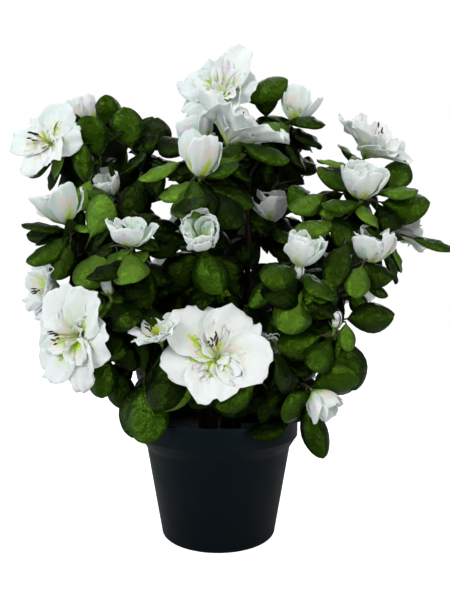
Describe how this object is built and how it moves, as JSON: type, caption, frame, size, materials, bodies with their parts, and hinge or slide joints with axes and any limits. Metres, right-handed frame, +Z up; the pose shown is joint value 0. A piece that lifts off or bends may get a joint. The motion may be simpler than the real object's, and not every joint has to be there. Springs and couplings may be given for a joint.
{
  "type": "artificial azalea in a pot",
  "caption": "Artificial azalea with white ruffled blooms and whorls of dark green leaves on forking stems, in a black tapered nursery pot.",
  "frame": {"origin": "centre of the pot's flat underside, on the surface that it stands on", "axes": "+Z up along the pot's axis; -Y towards the side with the most blooms; +X to the right of that side"},
  "size_m": [0.3614, 0.2531, 0.3983],
  "materials": {
    "pot_plastic": "satin",
    "filler": "matte",
    "bark": "satin",
    "leaf": "satin",
    "petal": "matte",
    "stamen": "matte"
  },
  "bodies": {
    "root": {"pot": "pot_plastic", "filler": "filler", "stem_left": "bark", "stem_front": "bark", "stem_top": "bark", "stem_right": "bark", "stem_back_left": "bark", "stem_back_right": "bark", "bough_left_top": "bark", "bough_left_side": "bark", "bough_left_front": "bark", "bough_left_low": "bark", "bough_skirt_left": "bark", "bough_front": "bark", "bough_top_right": "bark", "bough_back_top": "bark", "bough_centre_right": "bark", "bough_right_front": "bark", "bough_right_side": "bark", "bough_right_low": "bark", "bough_skirt_right": "bark", "bough_back_left": "bark", "bough_back_left_mid": "bark", "bough_back_middle": "bark", "bough_back_left_low": "bark", "bough_back_right": "bark", "bough_back_right_mid": "bark", "bough_back_right_low": "bark", "foliage_crown_top": "leaf", "foliage_crown_front": "leaf", "foliage_top_right": "leaf", "foliage_upper_middle": "leaf", "foliage_left_top": "leaf", "foliage_left_shoulder": "leaf", "foliage_left_side": "leaf", "foliage_left_front": "leaf", "foliage_left_low": "leaf", "foliage_skirt_left": "leaf", "foliage_front": "leaf", "foliage_centre": "leaf", "foliage_inner_right": "leaf", "foliage_right_top": "leaf", "foliage_right_upper": "leaf", "foliage_right_side": "leaf", "foliage_right_front": "leaf", "foliage_centre_right": "leaf", "foliage_right_low": "leaf", "foliage_skirt_right": "leaf", "foliage_back_top": "leaf", "foliage_back_left_high": "leaf", "foliage_back_right_high": "leaf", "foliage_back_middle": "leaf", "foliage_back_left": "leaf", "foliage_back_right": "leaf", "foliage_back_left_mid": "leaf", "foliage_back_right_mid": "leaf", "foliage_back_left_low": "leaf", "foliage_back_right_low": "leaf"}
  },
  "joints": []
}
